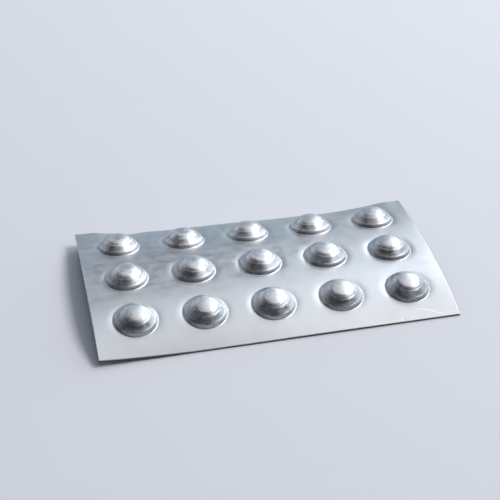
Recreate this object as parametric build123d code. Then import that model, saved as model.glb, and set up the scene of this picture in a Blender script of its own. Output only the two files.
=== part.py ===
from build123d import *
import os
from math import cos, pi

os.makedirs("parts", exist_ok=True)

# Blister pack of foil: three rows of five round pockets formed in one sheet, which is
# arched from front to back and lies on a table on its two long edges. Millimetres.
# The origin is on the table under the middle of the sheet, the long side runs along X,
# the front edge is at -Y and the pockets stand up along +Z.

# Sheet, seen from above
sheet_length = 114.8
sheet_width = 66.5
forming_foil = 0.15
lid_foil = 0.03
sheet_thickness = forming_foil + lid_foil
# The cutter turned the sheet's edge down into a lip all round
lip_width = 0.3
lip_depth = 0.35

# Arch: height of the top face along the middle line, at three stations
crown_left = 7.15
crown_middle = 6.05
crown_right = 4.25
arch_power = 2.4

# Ends that curl up off the table: how high the lip stands at the corner, and how far
# along the edge the lift reaches
front_left_lift = 1.6
front_left_reach = 39.0
back_left_lift = 3.9
back_left_reach = 66.0
back_right_lift = 1.3
back_right_reach = 26.0
lift_power = 2.2
# The front edge bows up a little between the two places where it touches the table
front_bow = 0.12

# Pocket pattern
columns = 5
rows = 3
column_pitch = 22.0
row_pitch = 20.4
pattern_shift_y = 0.8

# Pocket, as rings from its mouth to its flat top: radius, and height above the sheet
mouth_radius = 7.2
shoulder_radius = 5.0
shoulder_height = 2.7
step_radius = 4.1
step_height = 3.0
cap_radius = 3.7
cap_edge_height = 3.4
top_radius = 2.9
cap_height = 3.7
# The pocket's foot runs on below the sheet's top face, to be trimmed level with its underside
root_depth = 1.0

# Burr left by the cutter, where the front lip hangs lower
burr_x = -39.0
burr_width = 2.0
burr_hang = 0.25

# Number of stations that the curved face is drawn through, along and across, how closely
# it follows them, and the short step over which its slope is taken
stations_x = 21
stations_y = 13
face_tolerance = 0.004
slope_step = 0.01
# The block that trims the underside reaches this far past the sheet's edges
trim_margin = 2.0


def crown_height(x):
    u = 2 * x / sheet_length
    fall = (crown_right - crown_left) / 2
    bend = (crown_right + crown_left) / 2 - crown_middle
    return crown_middle + fall * u + bend * u * u


def end_lift(distance, lift, reach):
    """Lift of an edge at a distance from its corner, fading out at the reach."""
    return lift * max(0.0, 1 - distance / reach) ** lift_power


def front_clearance(x):
    from_left = x + sheet_length / 2
    resting = max(0.0, from_left - front_left_reach) / (sheet_length - front_left_reach)
    bow = front_bow * (1 - cos(2 * pi * min(resting, 1.0))) / 2
    return end_lift(from_left, front_left_lift, front_left_reach) + bow


def back_clearance(x):
    left = end_lift(sheet_length / 2 + x, back_left_lift, back_left_reach)
    right = end_lift(sheet_length / 2 - x, back_right_lift, back_right_reach)
    return left + right


def top_height(x, y):
    """Height of the sheet's top face above the table."""
    v = 2 * y / sheet_width
    clearance = (1 - v) / 2 * front_clearance(x) + (1 + v) / 2 * back_clearance(x)
    edge = clearance + lip_depth + sheet_thickness
    share = abs(v) ** arch_power
    return crown_height(x) * (1 - share) + edge * share


def curved_face(margin, drop):
    """The sheet's curved face, wider by a margin all round and lower by a drop."""
    points = []
    for i in range(stations_x):
        x = (i / (stations_x - 1) - 0.5) * (sheet_length + 2 * margin)
        line = []
        for j in range(stations_y):
            y = (j / (stations_y - 1) - 0.5) * (sheet_width + 2 * margin)
            line.append(Vector(x, y, top_height(x, y) - drop))
        points.append(line)
    return Face.make_surface_from_array_of_points(points, tol=face_tolerance)


def pocket():
    """One formed pocket on the XY plane, standing up along Z from its mouth."""
    root_radius = mouth_radius + (mouth_radius - shoulder_radius) / shoulder_height * root_depth
    outline = Polyline(
        (0, cap_height),
        (0, -root_depth),
        (root_radius, -root_depth),
        (shoulder_radius, shoulder_height),
        (step_radius, step_height),
        (cap_radius, cap_edge_height),
        (top_radius, cap_height),
        close=True,
    )
    return revolve(Plane.XZ * make_face(outline), Axis.Z)


def local_plane(x, y):
    """Plane that lies on the sheet's top face at a place, with its Z along the normal."""
    rise_x = top_height(x + slope_step, y) - top_height(x - slope_step, y)
    rise_y = top_height(x, y + slope_step) - top_height(x, y - slope_step)
    slope_x = rise_x / (2 * slope_step)
    slope_y = rise_y / (2 * slope_step)
    return Plane((x, y, top_height(x, y)), x_dir=(1, 0, slope_x), z_dir=(-slope_x, -slope_y, 1))


def mouth_sink(x, y):
    """How far the arched face falls below its own tangent plane at the pocket's mouth."""
    plane = local_plane(x, y)
    falls = []
    for dx, dy in ((mouth_radius, 0), (-mouth_radius, 0), (0, mouth_radius), (0, -mouth_radius)):
        on_face = Vector(x + dx, y + dy, top_height(x + dx, y + dy))
        falls.append((plane.origin - on_face).dot(plane.z_dir))
    return sum(falls) / len(falls)


def build_pack():
    above_top = max(crown_left, crown_middle, crown_right) + root_depth
    blank = Solid.extrude(curved_face(0, 0), Vector(0, 0, -above_top))
    one_pocket = pocket()
    pockets = []
    for row in range(rows):
        for column in range(columns):
            x = (column - (columns - 1) / 2) * column_pitch
            y = (row - (rows - 1) / 2) * row_pitch + pattern_shift_y
            place = local_plane(x, y).offset(-mouth_sink(x, y))
            pockets.append(place * one_pocket)
    body = Part() + blank + pockets
    down = Vector(0, 0, -2 * above_top)
    body -= Solid.extrude(curved_face(-lip_width, sheet_thickness), down)
    body -= Solid.extrude(curved_face(trim_margin, sheet_thickness + lip_depth), down)
    burr_top = top_height(burr_x, -sheet_width / 2) - sheet_thickness
    burr = Pos(burr_x, -sheet_width / 2, burr_top) * Box(
        burr_width, lip_width, lip_depth + burr_hang, align=(Align.CENTER, Align.MIN, Align.MAX)
    )
    return body + burr


pack = build_pack()
box = pack.bounding_box()
pack = Pos(0, 0, -box.min.Z) * pack
pack.label = "blister_pack"
export_step(pack, "parts/blister_pack.step")
box = pack.bounding_box()
print("solids", len(pack.solids()), "volume", round(pack.volume, 1), "box", box.min, box.max)
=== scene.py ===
from math import atan2, cos, hypot, pi, radians, sin, tan

import bmesh
import bpy
from mathutils import Matrix, Vector


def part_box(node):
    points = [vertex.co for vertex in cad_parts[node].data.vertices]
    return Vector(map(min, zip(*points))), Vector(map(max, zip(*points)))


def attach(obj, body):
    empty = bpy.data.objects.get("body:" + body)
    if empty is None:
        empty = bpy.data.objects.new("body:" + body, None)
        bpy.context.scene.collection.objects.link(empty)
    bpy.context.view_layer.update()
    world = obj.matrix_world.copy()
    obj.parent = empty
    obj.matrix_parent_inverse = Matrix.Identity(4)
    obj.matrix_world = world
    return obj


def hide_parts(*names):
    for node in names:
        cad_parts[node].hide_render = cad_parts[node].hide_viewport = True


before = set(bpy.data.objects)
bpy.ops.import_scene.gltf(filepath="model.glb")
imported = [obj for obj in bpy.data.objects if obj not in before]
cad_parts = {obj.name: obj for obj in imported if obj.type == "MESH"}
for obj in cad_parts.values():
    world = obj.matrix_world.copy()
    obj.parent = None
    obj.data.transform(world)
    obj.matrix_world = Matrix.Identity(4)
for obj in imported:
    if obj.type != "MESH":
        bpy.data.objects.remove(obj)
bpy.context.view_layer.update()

mm = 0.001

# Blister pack of foil as one mesh: three rows of five round pockets drawn in an arched sheet.
# The origin is on the table under the middle of the sheet, the long side runs along X,
# the front edge is at -Y and the pockets stand up along +Z. Metres.

# The sheet of the pack, seen from above: as long and as wide as the frame's
low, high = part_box("blister_pack")
sheet_length = high.x - low.x
sheet_width = high.y - low.y
sheet_thickness = 0.18 * mm

# The cutter turned the sheet's edge down into a lip all round, rounded along its outside
lip_width = 0.3 * mm
lip_depth = 0.35 * mm
bend_width = 0.2 * mm
bend_drop = 0.09 * mm
# Lines of the mesh along the lip, by their distance from the sheet's edge
edge_insets = (0.0, 0.05 * mm, 0.11 * mm, bend_width, lip_width)

# Burr where the front lip hangs lower, and how far in from the edge it reaches
burr_x = -39.0 * mm
burr_width = 2.0 * mm
burr_hang = 0.25 * mm
burr_reach = 1.1 * lip_width

# Arch of the sheet: height of its top face along the middle line, at three stations
crown_left = 7.15 * mm
crown_middle = 6.05 * mm
crown_right = 4.25 * mm
arch_power = 2.4

# Ends that curl up off the table: lift at the corner, and reach along the edge
front_left_lift = 1.6 * mm
front_left_reach = 39.0 * mm
back_left_lift = 3.9 * mm
back_left_reach = 66.0 * mm
back_right_lift = 1.3 * mm
back_right_reach = 26.0 * mm
lift_power = 2.2
# The front edge bows up a little between the two places where it touches the table
front_bow = 0.12 * mm

# Ripple of the back edge: place along the edge and lift; and how far in it reaches
back_ripple = (
    (-57.4 * mm, 0.1 * mm),
    (-51.0 * mm, 0.5 * mm),
    (-46.0 * mm, 0.1 * mm),
    (-38.4 * mm, -0.6 * mm),
    (-32.0 * mm, 0.0 * mm),
    (-6.0 * mm, 0.55 * mm),
    (14.0 * mm, 0.0 * mm),
    (32.0 * mm, -0.4 * mm),
    (43.5 * mm, 0.0 * mm),
    (51.0 * mm, 0.45 * mm),
    (57.4 * mm, -0.1 * mm),
)
ripple_reach = 8.0 * mm

# Buckle near the front right corner: a line that the sheet steps up along towards the front.
# The step fades in from the line's left end, and in front of the line it eases off, to be
# gone a little past the sheet's edge.
buckle_line = (
    (33.5 * mm, -27.9 * mm),
    (37.1 * mm, -28.25 * mm),
    (40.5 * mm, -28.55 * mm),
    (44.3 * mm, -29.0 * mm),
    (48.0 * mm, -30.1 * mm),
    (50.4 * mm, -31.5 * mm),
    (52.5 * mm, -32.4 * mm),
    (57.4 * mm, -32.7 * mm),
)
buckle_step = 0.07 * mm
buckle_width = 0.45 * mm
buckle_fade = 5.0 * mm
buckle_easing = 1.5 * mm

# Small dent in the front margin: place, radius, depth
dent_x = 39.2 * mm
dent_y = -32.5 * mm
dent_radius = 0.9 * mm
dent_depth = 0.04 * mm

# The right end rolls down: height of the swell before it, and how far in it reaches
end_swell = 0.06 * mm
end_swell_reach = 14.0 * mm

# Pocket pattern
columns = 5
rows = 3
column_pitch = 22.0 * mm
row_pitch = 20.4 * mm
pattern_shift_y = 0.8 * mm
# Each pocket stands in a rectangular cell of the sheet. Half of the angle that the cell's
# right side takes up, seen from the pocket's axis, and half of its back side's
half_right_angle = atan2(row_pitch, column_pitch)
half_back_angle = pi / 2 - half_right_angle

# The sheet dips around each mouth, less so in front and behind by a share, and follows the
# mouth's flat ring out to the blend radius
mouth_radius = 7.2 * mm
moat_depth = 0.18 * mm
moat_ease = 0.8
moat_radius = 9.8 * mm
moat_power = 2.4
blend_radius = 10.1 * mm

# Half section of a pocket from its mouth to its cap: radius, height above the sheet,
# and how far from the corner its rounding starts
pocket_corners = (
    (mouth_radius, -moat_depth, 0.1 * mm),
    (6.9 * mm, 0.06 * mm, 0.13 * mm),
    (6.42 * mm, 1.02 * mm, 0.22 * mm),
    (6.03 * mm, 1.28 * mm, 0.23 * mm),
    (4.74 * mm, 2.64 * mm, 0.3 * mm),
    (4.3 * mm, 2.88 * mm, 0.24 * mm),
    (3.6 * mm, 3.46 * mm, 0.62 * mm),
)
# The section leaves its first and last corners towards points this far out and in
section_overrun = 1.0 * mm
# Domed cap: height at the axis, and how it falls with the square of the radius
cap_height = 3.99 * mm
dome_sag_per_area = 0.042 / mm
# Low down a pocket follows the arch of the sheet, and from this height up its own plane
follow_height = 1.6 * mm

# Mesh fineness: steps along a cell's side, rings from mouth to cell edge and how they crowd
# towards the mouth, steps across a margin, round a corner of the section and over the cap
side_steps = 24
outer_rings = 10
ring_crowding = 1.3
margin_steps = 4
corner_steps = 3
dome_rings = 6
# Rings of the underside below a pocket, with a groove at the mouth
underside_rings = (1.0 * mm, 4.0 * mm, 6.9 * mm, mouth_radius, 7.5 * mm)
underside_groove = 0.05 * mm
# The mesh is finer within this reach of the buckle and at the burr
refine_reach = 1.4 * mm
refine_cuts = 3
# Short step over which the sheet's slope is taken, and the least angle of a sharp edge
slope_step = 0.1 * mm
sharp_angle = 50

# Levels at which a plan position has a vertex, and the mesh's material slots
ON_TOP, UNDER, LIP_FOOT = range(3)
TOP, CUT_AND_GAP_SHADE, LID = range(3)

# Noise seldom leaves this range
noise_low = 0.35
noise_high = 0.65

# Look of the foils: colour and roughness, each between two values in clouds of some size
foil_dark = (0.604, 0.617, 0.63)
foil_light = (0.669, 0.683, 0.697)
foil_smooth = 0.38
foil_dull = 0.46
lid_dark = (0.64, 0.65, 0.66)
lid_light = (0.70, 0.71, 0.72)
lid_smooth = 0.36
lid_dull = 0.44
cloud_size = 7 * mm
gloss_size = 3 * mm

# Painted shade: the foils darken towards the right end, by a factor between two places along X, standing
# in for less light there
painted_shade_start = 12.0 * mm
painted_shade_end = 57.0 * mm
painted_shade_tone = 0.82

# Rolling lines along X, a fine grain and soft waves: size, relief, and change of roughness
line_size = 0.5 * mm
line_stretch = 40
line_height = 0.012 * mm
line_gloss = 0.03
grain_size = 0.6 * mm
grain_height = 0.01 * mm
wave_size = 4 * mm
wave_height = 0.015 * mm

# What drawing leaves on a pocket: rings that wander in and out, pits, a mottle and less
# gloss. It fades out between the two edge radii, and on the cap it weakens to a share
# between the two middle ones.
ring_size = 0.45 * mm
ring_drift = 2.0 * mm
ring_drift_size = 5 * mm
ring_height = 0.03 * mm
ring_gloss = 0.1
formed_dullness = 0.025
pit_size = 1.0 * mm
pit_height = 0.015 * mm
mottle_size = 0.9 * mm
mottle_depth = 0.2
drawn_edge_inner = 6.8 * mm
drawn_edge_outer = 7.3 * mm
drawn_middle_inner = 0.5 * mm
drawn_middle_outer = 3.0 * mm
drawn_middle_share = 0.7

# The raw cut through the layers: dark, with fine lines along it. The same dark covers the lip below the
# cut as painted shade of the shadowed gap under the sheet's edge
cut_and_gap_shade_dark = (0.05, 0.05, 0.048)
cut_and_gap_shade_light = (0.16, 0.16, 0.155)
cut_dullness = 0.6
cut_line_size = 0.12 * mm
cut_line_stretch = 12
cut_line_height = 0.006 * mm

# The floor: pale card with a very faint mottle
floor_colour = (0.84, 0.87, 0.91)
floor_change = 0.005
floor_mottle_size = 30 * mm
floor_dullness = 0.9
floor_size = 8.0

# Soft panels of light: name, azimuth from +X towards +Y and elevation in degrees, width and
# height in degrees as the pack sees them, radiance, colour
panels = (
    ("key_panel", 10, 50, 24, 20, 10.53, (1.0, 0.883, 0.86)),
    ("high_key_panel", 335, 58, 30, 18, 0.85, (0.542, 0.922, 1.0)),
    ("low_key_panel", 352, 36, 24, 14, 0.93, (0.009, 0.495, 1.0)),
    ("side_panel", 50, 33, 24, 22, 5.31, (0.853, 0.914, 1.0)),
    ("front_side_panel", 325, 40, 22, 18, 2.00, (0.931, 0.943, 1.0)),
    ("low_panel", 15, 13, 50, 12, 1.99, (0.801, 0.946, 1.0)),
    ("low_back_panel", 55, 14, 40, 14, 1.23, (0.782, 0.953, 1.0)),
    ("top_panel", 70, 60, 40, 24, 1.07, (0.82, 0.926, 1.0)),
    ("back_panel", 95, 12, 40, 16, 0.48, (0.363, 0.702, 1.0)),
    ("high_back_panel", 112, 27, 36, 18, 1.31, (0.796, 0.857, 1.0)),
    ("back_left_panel", 145, 28, 40, 40, 0.39, (0.807, 0.895, 1.0)),
    ("overhead_panel", 45, 82, 20, 20, 1.15, (0.925, 0.965, 1.0)),
)
panel_distance = 2.0
room_colour = (0.842, 0.789, 1.0)
room_strength = 0.038

# Camera: the point it looks at and its distance from there, its heading from +Y towards +X,
# its tilt down and its turn about the view in degrees, and its lens and sensor in millimetres
camera_target = (-0.008 * mm, 16.642 * mm, lip_depth)
camera_distance = 467.48 * mm
camera_heading = 11.576
camera_tilt = 34.702
camera_roll = -0.783
camera_lens = 99.33
camera_sensor = 36.0
camera_nearest = 0.01
camera_farthest = 50.0


def smooth(t):
    """A smooth step from 0 to 1, as t goes from 0 to 1."""
    t = max(0.0, min(1.0, t))
    return t * t * (3 - 2 * t)


def end_lift(distance, lift, reach):
    """Lift of an edge at a distance from its corner, fading out at the reach."""
    return lift * max(0.0, 1 - distance / reach) ** lift_power


def front_clearance(x):
    """Height of the front lip's foot above the table."""
    from_left = x + sheet_length / 2
    resting = max(0.0, from_left - front_left_reach) / (sheet_length - front_left_reach)
    bow = front_bow * (1 - cos(2 * pi * min(resting, 1.0))) / 2
    return end_lift(from_left, front_left_lift, front_left_reach) + bow


def back_clearance(x):
    """Height of the back lip's foot above the table."""
    left = end_lift(sheet_length / 2 + x, back_left_lift, back_left_reach)
    right = end_lift(sheet_length / 2 - x, back_right_lift, back_right_reach)
    return left + right


def between(points, x):
    """Height at a place along a row of (place, height) points, eased from each to the next."""
    before = points[0]
    for after in points[1:]:
        if x < after[0]:
            t = smooth((x - before[0]) / (after[0] - before[0]))
            return before[1] * (1 - t) + after[1] * t
        before = after
    return before[1]


def crown_height(x):
    """Height of the top face along the middle line, on a parabola through three stations."""
    u = 2 * x / sheet_length
    fall = (crown_right - crown_left) / 2
    bend = (crown_right + crown_left) / 2 - crown_middle
    return crown_middle + fall * u + bend * u * u


def arch_height(x, y):
    """Height of the plain arched sheet's top face above the table."""
    v = 2 * y / sheet_width
    clearance = (1 - v) / 2 * front_clearance(x) + (1 + v) / 2 * back_clearance(x)
    edge = clearance + lip_depth + sheet_thickness
    share = abs(v) ** arch_power
    return crown_height(x) * (1 - share) + edge * share


def end_swell_height(x):
    """Swell of the middle line before the sheet's right end."""
    t = min(1.0, (sheet_length / 2 - x) / end_swell_reach)
    # t * (1 - t) ** 2 is highest at a third of the reach, where it is 4 / 27
    return end_swell * (27 / 4) * t * (1 - t) ** 2


def top_height(x, y):
    """Height of the sheet's top face with its ripple and the roll of its right end."""
    from_back = sheet_width / 2 - y
    ripple = between(back_ripple, x) * (1 - smooth(from_back / ripple_reach))
    share = abs(2 * y / sheet_width) ** arch_power
    return arch_height(x, y) + ripple + end_swell_height(x) * max(0.0, 1 - share)


def edge_bend(x, y):
    """How far the rounded bend of the lip drops the top face near the sheet's edge."""
    inset = min(sheet_length / 2 - abs(x), sheet_width / 2 - abs(y))
    return bend_drop * max(0.0, 1 - inset / bend_width) ** 2


def buckle_offset(x, y):
    """Height that the buckle and the dent add to the sheet."""
    line_start = buckle_line[0][0]
    if x < line_start:
        return 0.0
    for (x0, y0), (x1, y1) in zip(buckle_line, buckle_line[1:]):
        if x <= x1:
            break
    line_y = y0 + (y1 - y0) * (x - x0) / (x1 - x0)
    slant = (x1 - x0) / hypot(x1 - x0, y1 - y0)
    step = buckle_step * smooth(0.5 + (line_y - y) * slant / buckle_width)
    fade = smooth((x - line_start) / buckle_fade)
    eased_y = -sheet_width / 2 - buckle_easing
    ease = max(0.0, min(1.0, (y - eased_y) / (line_y - eased_y)))
    dent = dent_depth * (1 - smooth(hypot(x - dent_x, y - dent_y) / dent_radius))
    return step * fade * ease - dent


def rounded_corner(before, corner, after, cut):
    """Points along a corner of a half section, rounded from the cut on each side."""
    start = corner + (before - corner).normalized() * cut
    end = corner + (after - corner).normalized() * cut
    points = []
    for step in range(corner_steps + 1):
        t = step / corner_steps
        points.append(start * (1 - t) ** 2 + corner * 2 * t * (1 - t) + end * t * t)
    return points


def dome_height(radius):
    """Height of the domed cap above the sheet."""
    return cap_height - dome_sag_per_area * radius * radius


def moat(radius):
    """Depth of the dip around a pocket's mouth, on its left and right."""
    t = max(0.0, (radius - mouth_radius) / (moat_radius - mouth_radius))
    return moat_depth * max(0.0, 1 - t) ** moat_power


def moat_share(angle):
    """Share of that depth at an angle round the pocket."""
    return 1 - moat_ease * sin(angle) ** 2


def pocket_section():
    """Half section of a pocket from its mouth to its axis, as (radius, height) points."""
    corners = [Vector(corner[:2]) for corner in pocket_corners]
    outer = mouth_radius + section_overrun
    inner = corners[-1].x - section_overrun
    chain = [Vector((outer, -moat(outer))), *corners, Vector((inner, dome_height(inner)))]
    points = []
    for index, (_, _, cut) in enumerate(pocket_corners):
        points += rounded_corner(chain[index], chain[index + 1], chain[index + 2], cut)
    dome_edge = points[-1].x
    for ring in range(1, dome_rings):
        radius = dome_edge * (1 - ring / dome_rings)
        points.append(Vector((radius, dome_height(radius))))
    return points


class Pocket:
    """One pocket's place on the sheet, with axes that lie in the sheet's slope there."""

    def __init__(self, column, row):
        self.x = (column - (columns - 1) / 2) * column_pitch
        self.y = (row - (rows - 1) / 2) * row_pitch + pattern_shift_y
        rise_x = arch_height(self.x + slope_step, self.y) - arch_height(self.x - slope_step, self.y)
        rise_y = arch_height(self.x, self.y + slope_step) - arch_height(self.x, self.y - slope_step)
        self.across = Vector((1, 0, rise_x / (2 * slope_step))).normalized()
        self.normal = self.across.cross(Vector((0, 1, rise_y / (2 * slope_step)))).normalized()
        self.along = self.normal.cross(self.across)
        self.origin = Vector((self.x, self.y, arch_height(self.x, self.y)))
        self.sink = self.mouth_sink()

    def mouth_sink(self):
        """How far the arch falls below its tangent plane at the mouth, on average."""
        angles = (0, pi / 2, pi, 3 * pi / 2)
        total = 0.0
        for angle in angles:
            x = self.x + mouth_radius * cos(angle)
            y = self.y + mouth_radius * sin(angle)
            total += (self.origin - Vector((x, y, arch_height(x, y)))).dot(self.normal)
        return total / len(angles)

    def on_plane(self, radius, angle, height):
        """A point of the formed pocket, at a height above its mouth's plane."""
        offset = self.across * (radius * cos(angle)) + self.along * (radius * sin(angle))
        return self.origin + offset + self.normal * (height - self.sink)

    def formed(self, radius, angle, height):
        """As on the plane, but low down it follows the arch of the sheet."""
        point = self.on_plane(radius, angle, height)
        base = self.on_plane(radius, angle, 0.0)
        follow = 1 - smooth(height / follow_height)
        point.z += follow * (top_height(base.x, base.y) - base.z)
        return point

    def on_sheet(self, radius, angle, drop):
        """A point of the sheet round the pocket, blended into the pocket's mouth."""
        x = self.x + radius * cos(angle)
        y = self.y + radius * sin(angle)
        sheet = Vector((x, y, top_height(x, y) - drop))
        t = (radius - mouth_radius) / (blend_radius - mouth_radius)
        return self.formed(radius, angle, -drop).lerp(sheet, smooth(t))


def cell_angles():
    """Angles of the rays round a pocket, evenly spread on each side of its cell."""
    sides = (
        (0, half_right_angle),
        (pi / 2, half_back_angle),
        (pi, half_right_angle),
        (3 * pi / 2, half_back_angle),
    )
    angles = []
    for middle, half in sides:
        for step in range(side_steps):
            angles.append(middle - half + 2 * half * step / side_steps)
    return angles


def cell_edge(angle):
    """Distance from a pocket's axis to the edge of its cell."""
    nearly_zero = 1e-9
    reach_x = column_pitch / 2 / max(nearly_zero, abs(cos(angle)))
    reach_y = row_pitch / 2 / max(nearly_zero, abs(sin(angle)))
    return min(reach_x, reach_y)


class Shell:
    """Vertices and faces of the pack, with vertices on cell edges shared by their place."""

    def __init__(self):
        self.vertices = []
        self.radii = []
        self.faces = []
        self.materials = []
        self.shared = {}

    def add(self, point, radius=moat_radius):
        """A new vertex, with its distance from its pocket's axis, or one outside any pocket."""
        self.vertices.append(point)
        self.radii.append(radius)
        return len(self.vertices) - 1

    def plan(self, x, y, level):
        """The one vertex at a plan position on the top, the underside or the lip's foot."""
        key = (round(x / mm, 3), round(y / mm, 3), level)
        if key not in self.shared:
            height = top_height(x, y)
            if level == ON_TOP:
                height -= edge_bend(x, y)
            elif level == UNDER:
                height -= sheet_thickness
            else:
                height = max(0.0, height - sheet_thickness - lip_depth)
            self.shared[key] = self.add(Vector((x, y, height)))
        return self.shared[key]

    def face(self, corners, material, up=True):
        """A face with its corners anticlockwise as seen from above, facing up or down."""
        self.faces.append(corners if up else corners[::-1])
        self.materials.append(material)

    def rings(self, loops, centre, material, up):
        """Quads between loops of vertices given from the outside in, closed by a fan."""
        for outer, inner in zip(loops, loops[1:]):
            for i in range(len(outer)):
                j = (i + 1) % len(outer)
                self.face([outer[i], outer[j], inner[j], inner[i]], material, up)
        last = loops[-1]
        for i in range(len(last)):
            self.face([last[i], last[(i + 1) % len(last)], centre], material, up)


def add_pocket(shell, pocket, angles, section):
    """A pocket with its cell of the sheet, on top and underneath."""
    reaches = [cell_edge(angle) for angle in angles]
    border_places = []
    for angle, reach in zip(angles, reaches):
        border_places.append((pocket.x + reach * cos(angle), pocket.y + reach * sin(angle)))
    top_loops = [[shell.plan(x, y, ON_TOP) for x, y in border_places]]
    under_loops = [[shell.plan(x, y, UNDER) for x, y in border_places]]

    ring_start = mouth_radius + pocket_corners[0][2]
    for ring in range(outer_rings - 1, 0, -1):
        share = (ring / outer_rings) ** ring_crowding
        loop = []
        for angle, reach in zip(angles, reaches):
            radius = ring_start + (reach - ring_start) * share
            drop = moat(radius) * moat_share(angle)
            loop.append(shell.add(pocket.on_sheet(radius, angle, drop), radius))
        top_loops.append(loop)
    for radius, height in section:
        loop = []
        for angle in angles:
            level = height * moat_share(angle) if height < 0 else height
            loop.append(shell.add(pocket.formed(radius, angle, level), radius))
        top_loops.append(loop)
    centre = shell.add(pocket.on_plane(0, 0, cap_height), 0.0)
    shell.rings(top_loops, centre, TOP, up=True)

    for radius in reversed(underside_rings):
        groove = underside_groove if radius == mouth_radius else 0.0
        loop = []
        for angle in angles:
            drop = moat(radius) * moat_share(angle) + sheet_thickness - groove
            loop.append(shell.add(pocket.on_sheet(radius, angle, drop)))
        under_loops.append(loop)
    middle_drop = moat_depth * (1 - moat_ease / 2) + sheet_thickness
    centre = shell.add(pocket.on_plane(0, 0, -middle_drop))
    shell.rings(under_loops, centre, LID, up=False)


def spread(start, end, steps):
    """Evenly spaced places from the start up to but not at the end."""
    return [start + (end - start) * i / steps for i in range(steps)]


def grid_lines(pitch, count, middle, half_angle, edge, other_half):
    """Places of the grid lines along one axis, and which of them bound the pocket cells.

    Between the margins' lines are those that the cells' rays reach, for a number of cells at
    a pitch about the middle, with half of a side's angle and half of the cell the other way.
    """
    inner = []
    for cell in range(count):
        centre = (cell - (count - 1) / 2) * pitch + middle
        for step in range(side_steps):
            angle = -half_angle + 2 * half_angle * step / side_steps
            inner.append(centre + other_half * tan(angle))
    inner_end = (count / 2) * pitch + middle
    before = [inset - edge for inset in edge_insets[:-1]]
    before += spread(lip_width - edge, inner[0], margin_steps)
    after = spread(inner_end, edge - lip_width, margin_steps)
    after += [edge - inset for inset in reversed(edge_insets)]
    return before + inner + after, len(before), len(before) + len(inner)


def border(xs, ys):
    """Plan positions round the rectangle of a grid, anticlockwise."""
    line = [(x, ys[0]) for x in xs[:-1]] + [(xs[-1], y) for y in ys[:-1]]
    return line + [(x, ys[-1]) for x in xs[:0:-1]] + [(xs[0], y) for y in ys[:0:-1]]


def wall(shell, line, lower, upper):
    """Upright faces of the lip along a closed line, between two levels, in the dark of the cut that also
    stands as painted shade of the gap under the edge.
    """
    for start, end in zip(line, line[1:] + line[:1]):
        quad = [shell.plan(*start, lower), shell.plan(*end, lower)]
        quad += [shell.plan(*end, upper), shell.plan(*start, upper)]
        # Dark of the cut, and painted shade of the gap under the edge
        shell.face(quad, CUT_AND_GAP_SHADE)


def add_margins(shell):
    """The strips of sheet outside the pocket cells, and the cut edge all round."""
    inner_start = len(edge_insets) - 1
    xs, x_from, x_to = grid_lines(
        column_pitch, columns, 0.0, half_back_angle, sheet_length / 2, row_pitch / 2
    )
    ys, y_from, y_to = grid_lines(
        row_pitch, rows, pattern_shift_y, half_right_angle, sheet_width / 2, column_pitch / 2
    )
    for i in range(len(xs) - 1):
        for j in range(len(ys) - 1):
            if x_from <= i < x_to and y_from <= j < y_to:
                continue
            corners = ((xs[i], ys[j]), (xs[i + 1], ys[j]), (xs[i + 1], ys[j + 1]), (xs[i], ys[j + 1]))
            shell.face([shell.plan(x, y, ON_TOP) for x, y in corners], TOP)
            inside_x = inner_start <= i < len(xs) - 1 - inner_start
            inside_y = inner_start <= j < len(ys) - 1 - inner_start
            if inside_x and inside_y:
                shell.face([shell.plan(x, y, UNDER) for x, y in corners], LID, up=False)
            else:
                # The lip's foot, dark like the cut and as painted shade of the gap under the edge
                shell.face([shell.plan(x, y, LIP_FOOT) for x, y in corners], CUT_AND_GAP_SHADE, up=False)
    wall(shell, border(xs, ys), LIP_FOOT, ON_TOP)
    inside = slice(inner_start, -inner_start)
    wall(shell, border(xs[inside], ys[inside]), UNDER, LIP_FOOT)


def near_buckle(x, y):
    """Whether a place is near the buckle's line or the dent."""
    if hypot(x - dent_x, y - dent_y) < dent_radius + refine_reach / 2:
        return True
    for (x0, y0), (x1, y1) in zip(buckle_line, buckle_line[1:]):
        along = Vector((x1 - x0, y1 - y0))
        from_start = Vector((x - x0, y - y0))
        t = max(0.0, min(1.0, from_start.dot(along) / along.length_squared))
        if (from_start - along * t).length < refine_reach:
            return True
    return False


def near_burr(x, y):
    """Whether a place is on the front lip near the burr."""
    return abs(x - burr_x) < burr_width and y < burr_reach - sheet_width / 2


def add_damage(mesh):
    """The buckle, the dent and the burr, on a mesh that is made finer there."""
    edit = bmesh.new()
    edit.from_mesh(mesh)
    for near in (near_buckle, near_burr):
        edges = [edge for edge in edit.edges if all(near(v.co.x, v.co.y) for v in edge.verts)]
        bmesh.ops.subdivide_edges(edit, edges=edges, cuts=refine_cuts, use_grid_fill=True)
    for vertex in edit.verts:
        x, y, z = vertex.co
        vertex.co.z += buckle_offset(x, y)
        if near_burr(x, y):
            depth = (top_height(x, y) - z) / (sheet_thickness + lip_depth)
            bump = 1 - smooth(2 * abs(x - burr_x) / burr_width)
            vertex.co.z -= burr_hang * bump * max(0.0, depth) ** 2
    edit.to_mesh(mesh)
    edit.free()


def build_pack():
    """The pack's one mesh, with each vertex's distance from its pocket's axis."""
    shell = Shell()
    angles = cell_angles()
    section = pocket_section()
    for row in range(rows):
        for column in range(columns):
            add_pocket(shell, Pocket(column, row), angles, section)
    add_margins(shell)
    mesh = bpy.data.meshes.new("foil_pack")
    mesh.from_pydata(shell.vertices, [], shell.faces)
    mesh.polygons.foreach_set("material_index", shell.materials)
    mesh.polygons.foreach_set("use_smooth", [True] * len(shell.faces))
    radii = mesh.attributes.new("pocket_radius", "FLOAT", "POINT")
    radii.data.foreach_set("value", shell.radii)
    add_damage(mesh)
    mesh.set_sharp_from_angle(angle=radians(sharp_angle))
    mesh.validate()
    pack = bpy.data.objects.new("foil_pack", mesh)
    bpy.context.scene.collection.objects.link(pack)
    return pack


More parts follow.
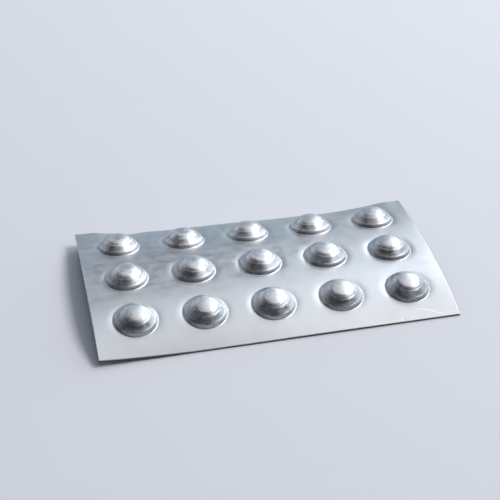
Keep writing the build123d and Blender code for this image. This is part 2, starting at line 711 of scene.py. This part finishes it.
def node(tree, kind, inputs, **settings):
    """A new node with its settings, and its inputs linked or set by name or number."""
    made = tree.nodes.new(kind)
    for name, value in settings.items():
        setattr(made, name, value)
    for name, value in inputs.items():
        if isinstance(value, bpy.types.NodeSocket):
            tree.links.new(value, made.inputs[name])
        else:
            made.inputs[name].default_value = value
    return made


def noise(tree, place, size, detail=2.0, stretch=(1, 1, 1)):
    """Noise between 0 and 1, with spots of about the given size, stretched along some axes."""
    scale = [1 / (size * factor) for factor in stretch]
    mapped = node(tree, "ShaderNodeMapping", {"Vector": place, "Scale": scale}).outputs[0]
    texture = node(tree, "ShaderNodeTexNoise", {"Vector": mapped, "Detail": detail, "Scale": 1.0})
    return texture.outputs["Fac"]


def plus(tree, first, second):
    """Sum of two values."""
    return node(tree, "ShaderNodeMath", {0: first, 1: second}, operation="ADD").outputs[0]


def times(tree, first, second):
    """Product of two values."""
    return node(tree, "ShaderNodeMath", {0: first, 1: second}, operation="MULTIPLY").outputs[0]


def scaled(tree, colour, factor):
    """A colour made lighter or darker by a factor."""
    made = node(tree, "ShaderNodeVectorMath", {0: colour, "Scale": factor}, operation="SCALE")
    return made.outputs[0]


def map_range(tree, value, from_low, from_high, to_low, to_high):
    """A value taken from one range to another, and kept inside it."""
    made = node(tree, "ShaderNodeMapRange", {
        "Value": value, "From Min": from_low, "From Max": from_high, "To Min": to_low, "To Max": to_high
    })
    return made.outputs["Result"]


def spread_noise(tree, value, to_low, to_high):
    """Noise taken from its usual range to another."""
    return map_range(tree, value, noise_low, noise_high, to_low, to_high)


def mixed(tree, share, dark, light):
    """A colour between two, by a share."""
    # The Mix node's share is its input 0, and its colours are inputs 6 and 7 and output 2
    made = node(tree, "ShaderNodeMix", {0: share, 6: (*dark, 1), 7: (*light, 1)}, data_type="RGBA")
    return made.outputs[2]


def new_material(name, metallic):
    """A material, with its node tree, its shader and the place on the object."""
    material = bpy.data.materials.new(name)
    material.use_nodes = True
    tree = material.node_tree
    shader = tree.nodes["Principled BSDF"]
    shader.inputs["Metallic"].default_value = metallic
    place = node(tree, "ShaderNodeTexCoord", {}).outputs["Object"]
    return material, tree, shader, place


def add_bump(tree, shader, height):
    """Bump from a height in metres."""
    bump = node(tree, "ShaderNodeBump", {"Height": height, "Distance": 1.0, "Strength": 1.0})
    tree.links.new(bump.outputs[0], shader.inputs["Normal"])


def on_pocket(tree):
    """Distance from the axis of the pocket, and how fully a point shows that it was drawn."""
    radius = node(tree, "ShaderNodeAttribute", {}, attribute_name="pocket_radius").outputs["Fac"]
    rise = map_range(tree, radius, drawn_middle_inner, drawn_middle_outer, drawn_middle_share, 1.0)
    fall = map_range(tree, radius, drawn_edge_inner, drawn_edge_outer, 1.0, 0.0)
    return radius, times(tree, rise, fall)


def drawing_rings(tree, place, radius):
    """Noise in faint, uneven rings, as drawing leaves them on a pocket."""
    drift = map_range(tree, noise(tree, place, ring_drift_size), 0, 1, 0, ring_drift)
    across = node(tree, "ShaderNodeCombineXYZ", {"X": radius, "Y": drift})
    return noise(tree, across.outputs[0], ring_size)


def rolled_look(tree, place, dark, light, smooth_roughness, dull_roughness):
    """Colour, roughness and relief of rolled foil: clouds, rolling lines, grain and waves, with painted
    shade darkening the colour towards the right end.
    """
    along = node(tree, "ShaderNodeSeparateXYZ", {0: place}).outputs["X"]
    # Painted shade: the colour darkens along X towards the right end
    painted_shade = map_range(tree, along, painted_shade_start, painted_shade_end, 1.0, painted_shade_tone)
    colour = scaled(tree, mixed(tree, noise(tree, place, cloud_size, detail=3.0), dark, light), painted_shade)
    lines = noise(tree, place, line_size, stretch=(line_stretch, 1, 1))
    clouds = noise(tree, place, gloss_size, detail=4.0)
    roughness = spread_noise(tree, clouds, smooth_roughness, dull_roughness)
    roughness = plus(tree, roughness, spread_noise(tree, lines, -line_gloss, line_gloss))
    grain = times(tree, noise(tree, place, grain_size), grain_height)
    waves = times(tree, noise(tree, place, wave_size, detail=1.0), wave_height)
    height = plus(tree, times(tree, lines, line_height), plus(tree, grain, waves))
    return colour, roughness, height


def drawn_look(tree, place, colour, roughness, height):
    """The same with what drawing leaves on the pockets: rings, pits, mottle and less gloss."""
    radius, share = on_pocket(tree)
    rings = drawing_rings(tree, place, radius)
    pits = times(tree, noise(tree, place, pit_size), pit_height)
    relief = plus(tree, times(tree, rings, ring_height), pits)
    streaks = spread_noise(tree, rings, formed_dullness - ring_gloss, formed_dullness + ring_gloss)
    mottle = plus(tree, noise(tree, place, mottle_size, detail=3.0), rings)
    tone = map_range(tree, mottle, 2 * noise_low, 2 * noise_high, -mottle_depth, mottle_depth)
    colour = scaled(tree, colour, plus(tree, times(tree, tone, share), 1.0))
    roughness = plus(tree, roughness, times(tree, streaks, share))
    height = plus(tree, height, times(tree, relief, share))
    return colour, roughness, height


def foil_material(name, dark, light, smooth_roughness, dull_roughness, formed):
    """Satin foil, with the marks of drawing on its pockets if it was formed."""
    material, tree, shader, place = new_material(name, 1.0)
    colour, roughness, height = rolled_look(tree, place, dark, light, smooth_roughness, dull_roughness)
    if formed:
        colour, roughness, height = drawn_look(tree, place, colour, roughness, height)
    tree.links.new(colour, shader.inputs["Base Color"])
    tree.links.new(roughness, shader.inputs["Roughness"])
    add_bump(tree, shader, height)
    return material


def cut_edge_and_gap_shade_material():
    """The raw cut through the layers, dark with fine lines along it, also used as painted shade on the
    lip for the gap under the sheet's edge.
    """
    material, tree, shader, place = new_material("cut_edge_and_gap_shade", 0.0)
    lines = noise(tree, place, cut_line_size, detail=3.0, stretch=(cut_line_stretch, cut_line_stretch, 1))
    tree.links.new(mixed(tree, lines, cut_and_gap_shade_dark, cut_and_gap_shade_light), shader.inputs["Base Color"])
    shader.inputs["Roughness"].default_value = cut_dullness
    add_bump(tree, shader, times(tree, lines, cut_line_height))
    return material


def floor_material():
    """Smooth pale card, with a very faint mottle."""
    material, tree, shader, place = new_material("pale_floor", 0.0)
    mottle = noise(tree, place, floor_mottle_size, detail=3.0)
    dark = [part * (1 - floor_change) for part in floor_colour]
    light = [part * (1 + floor_change) for part in floor_colour]
    tree.links.new(mixed(tree, mottle, dark, light), shader.inputs["Base Color"])
    shader.inputs["Roughness"].default_value = floor_dullness
    return material


def add_floor():
    """A flat square floor at the height of the table."""
    half = floor_size / 2
    corners = [(-half, -half, 0), (half, -half, 0), (half, half, 0), (-half, half, 0)]
    mesh = bpy.data.meshes.new("floor")
    mesh.from_pydata(corners, [], [(0, 1, 2, 3)])
    floor = bpy.data.objects.new("floor", mesh)
    bpy.context.scene.collection.objects.link(floor)
    floor.data.materials.append(floor_material())


def direction(azimuth, elevation):
    """Unit vector at an azimuth from +X towards +Y, and an elevation above the table."""
    a = radians(azimuth)
    e = radians(elevation)
    return Vector((cos(e) * cos(a), cos(e) * sin(a), sin(e)))


def add_panel(name, azimuth, elevation, width, height, radiance, colour):
    """A soft panel that faces the pack, with its width and height as seen from there."""
    light = bpy.data.lights.new(name, "AREA")
    light.shape = "RECTANGLE"
    light.size = 2 * panel_distance * tan(radians(width / 2))
    light.size_y = 2 * panel_distance * tan(radians(height / 2))
    light.energy = pi * light.size * light.size_y * radiance
    light.color = colour
    lamp = bpy.data.objects.new(name, light)
    towards = direction(azimuth, elevation)
    lamp.location = towards * panel_distance
    lamp.rotation_mode = "QUATERNION"
    lamp.rotation_quaternion = (-towards).to_track_quat("-Z", "Y")
    bpy.context.scene.collection.objects.link(lamp)


def add_camera():
    """Camera that looks down at the pack from the front."""
    heading = radians(camera_heading)
    tilt = radians(camera_tilt)
    roll = radians(camera_roll)
    forward = Vector((cos(tilt) * sin(heading), cos(tilt) * cos(heading), -sin(tilt)))
    level = Vector((cos(heading), -sin(heading), 0.0))
    upright = level.cross(forward)
    right = level * cos(roll) + upright * sin(roll)
    up = upright * cos(roll) - level * sin(roll)
    data = bpy.data.cameras.new("camera")
    data.lens = camera_lens
    data.sensor_width = camera_sensor
    data.clip_start = camera_nearest
    data.clip_end = camera_farthest
    camera = bpy.data.objects.new("camera", data)
    rotation = Matrix((right, up, -forward)).transposed()
    place = Vector(camera_target) - forward * camera_distance
    camera.matrix_world = Matrix.Translation(place) @ rotation.to_4x4()
    bpy.context.scene.collection.objects.link(camera)
    bpy.context.scene.camera = camera


def set_world(colour, strength):
    """Even light of the room from all around."""
    world = bpy.data.worlds.new("room")
    world.use_nodes = True
    background = world.node_tree.nodes["Background"]
    background.inputs["Color"].default_value = (*colour, 1)
    background.inputs["Strength"].default_value = strength
    bpy.context.scene.world = world


pack = build_pack()
pack.data.materials.append(foil_material(
    "forming_foil", foil_dark, foil_light, foil_smooth, foil_dull, formed=True
))
pack.data.materials.append(cut_edge_and_gap_shade_material())
pack.data.materials.append(foil_material(
    "lid_foil", lid_dark, lid_light, lid_smooth, lid_dull, formed=False
))
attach(pack, "root")
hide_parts("blister_pack")

add_floor()
for panel in panels:
    add_panel(*panel)
set_world(room_colour, room_strength)
add_camera()
bpy.context.scene.view_settings.view_transform = "Standard"
